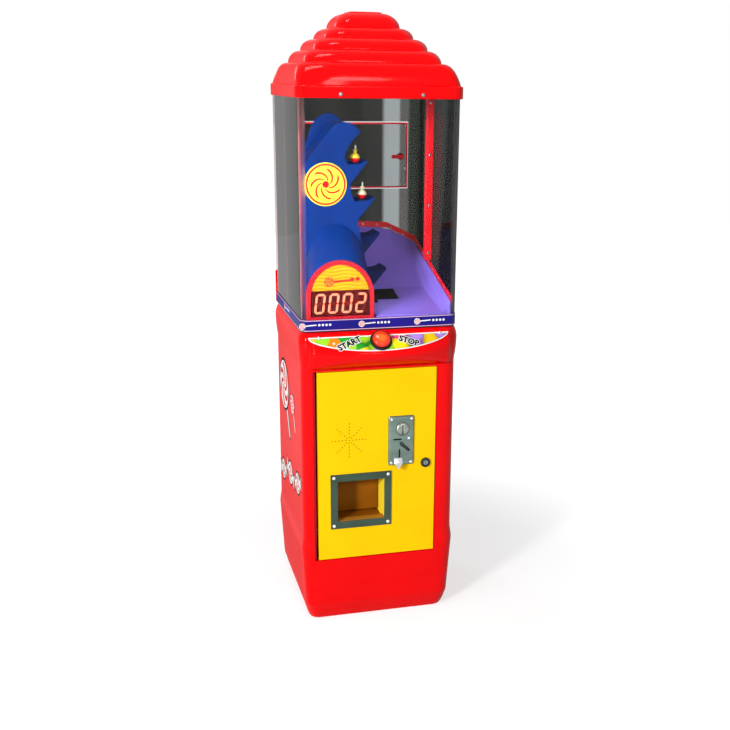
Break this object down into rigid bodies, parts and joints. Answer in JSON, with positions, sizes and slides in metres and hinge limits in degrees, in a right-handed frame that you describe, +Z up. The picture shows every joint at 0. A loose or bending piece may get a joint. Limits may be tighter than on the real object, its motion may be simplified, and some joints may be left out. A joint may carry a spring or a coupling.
{
  "type": "lollipop vending machine",
  "caption": "Free-standing coin-operated lollipop vending machine with a tiered roof, clear display case, stepped lifter, slanted control shelf and front service door.",
  "frame": {"origin": "on the floor under the middle of the cabinet", "axes": "+Z up, the front with the door and button faces -Y, +X to the right as seen from the front"},
  "size_m": [0.409, 0.4556, 1.531],
  "materials": {
    "amber_plastic": "tinted",
    "badge_print": "printed disc",
    "band_print": "printed film",
    "black_plastic": "matt",
    "blue_plastic": "glossy",
    "board_green": "circuit board",
    "brown_board": "plain board",
    "button_orange": "glossy",
    "chrome": "polished",
    "clear_acrylic": "clear acrylic",
    "coin_metal": "brushed",
    "dark_blue_plastic": "glossy",
    "decal_print": "printed film",
    "face_print": "printed film",
    "frame_metal": "hammered paint",
    "grey_plastic": "matt",
    "led_window": "dark red lens",
    "purple_plastic": "glossy",
    "red_gloss": "glossy",
    "red_trim": "satin",
    "smoked_acrylic": "smoked acrylic",
    "steel": "plain",
    "yellow_paint": "gloss paint"
  },
  "bodies": {
    "cabinet": {"base_plate": "steel", "button_bezel": "black_plastic", "cabinet_shell": "red_gloss", "case_back": "smoked_acrylic", "case_band": "band_print", "case_front": "clear_acrylic", "case_post_left": "red_trim", "case_post_right": "red_trim", "case_side_left": "clear_acrylic", "case_side_right": "clear_acrylic", "cash_box": "steel", "column_badge": "badge_print", "control_board": "board_green", "control_decal": "decal_print", "control_shelf": "red_gloss", "deck_plate": "black_plastic", "delivery_tube": "clear_acrylic", "display_face": "face_print", "display_frame": "red_trim", "display_housing": "blue_plastic", "door_jamb": "red_trim", "door_pin_lower": "steel", "door_pin_upper": "steel", "elevator_front_plate": "blue_plastic", "elevator_rear_plate": "blue_plastic", "elevator_shroud": "blue_plastic", "fixed_comb": "blue_plastic", "gear_motor": "steel", "guide_rod": "steel", "hopper": "purple_plastic", "hopper_edging": "red_trim", "led_module": "led_window", "plinth": "red_gloss", "power_inlet": "black_plastic", "power_supply": "steel", "rear_hinge_pin": "steel", "rear_upstand": "red_gloss", "rim_screw_left": "chrome", "rim_screw_right": "chrome", "roof": "red_gloss", "roof_tray": "brown_board", "start_switch": "grey_plastic"},
    "front_door": {"door_panel": "yellow_paint", "speaker": "black_plastic", "prize_frame": "frame_metal", "prize_box": "yellow_paint", "coin_plate": "coin_metal", "coin_entry_ring": "chrome", "coin_mechanism": "black_plastic", "coin_return_cup": "chrome", "lock_barrel": "chrome"},
    "prize_flap": {"prize_flap": "amber_plastic"},
    "coin_lever": {"coin_return_lever": "chrome"},
    "door_cam": {"lock_cam": "chrome"},
    "button": {"start_button": "button_orange"},
    "rear_door": {"rear_door": "smoked_acrylic", "rear_door_trim": "red_trim"},
    "rear_latch": {"rear_latch": "red_trim"},
    "lifter": {"lifter_comb": "dark_blue_plastic"},
    "pinion": {"drive_pinion": "grey_plastic"}
  },
  "joints": [
    {"name": "front_door_hinge", "type": "hinge", "parent": "cabinet", "child": "front_door", "pos_m": [-0.1558, -0.1928, 0.4285], "axis": [0, 0, -1], "range_deg": [0, 105]},
    {"name": "prize_flap_hinge", "type": "hinge", "parent": "front_door", "child": "prize_flap", "pos_m": [-0.05, -0.1388, 0.3869], "axis": [1, 0, 0], "range_deg": [0, 70]},
    {"name": "coin_lever_turn", "type": "hinge", "parent": "front_door", "child": "coin_lever", "pos_m": [0.056, -0.2071, 0.481], "axis": [0, 1, 0], "range_deg": [0, 25], "stiffness_Nm_per_rad": 0.05},
    {"name": "door_lock_turn", "type": "hinge", "parent": "front_door", "child": "door_cam", "pos_m": [0.1215, -0.2011, 0.4245], "axis": [0, -1, 0], "range_deg": [0, 90]},
    {"name": "start_button_push", "type": "slide", "parent": "cabinet", "child": "button", "axis": [0, 0.7289, -0.6846], "range_m": [0, 0.003], "stiffness_N_per_m": 400},
    {"name": "rear_door_hinge", "type": "hinge", "parent": "cabinet", "child": "rear_door", "pos_m": [-0.1705, 0.1943, 1.1775], "axis": [0, 0, 1], "range_deg": [0, 90]},
    {"name": "rear_latch_turn", "type": "hinge", "parent": "rear_door", "child": "rear_latch", "pos_m": [0.152, 0.192, 1.174], "axis": [0, 1, 0], "range_deg": [0, 180]},
    {"name": "lifter_stroke", "type": "slide", "parent": "cabinet", "child": "lifter", "axis": [-0.1961, 0, 0.9806], "range_m": [0, 0.09178]},
    {"name": "pinion_turn", "type": "hinge", "parent": "cabinet", "child": "pinion", "pos_m": [-0.06916, -0.028, 0.91018], "axis": [0, 1, 0], "range_deg": [-339.5, 2]}
  ],
  "couplings": [
    {"joint": "pinion_turn", "follows": "lifter_stroke", "rad_per_m": -64.179}
  ]
}
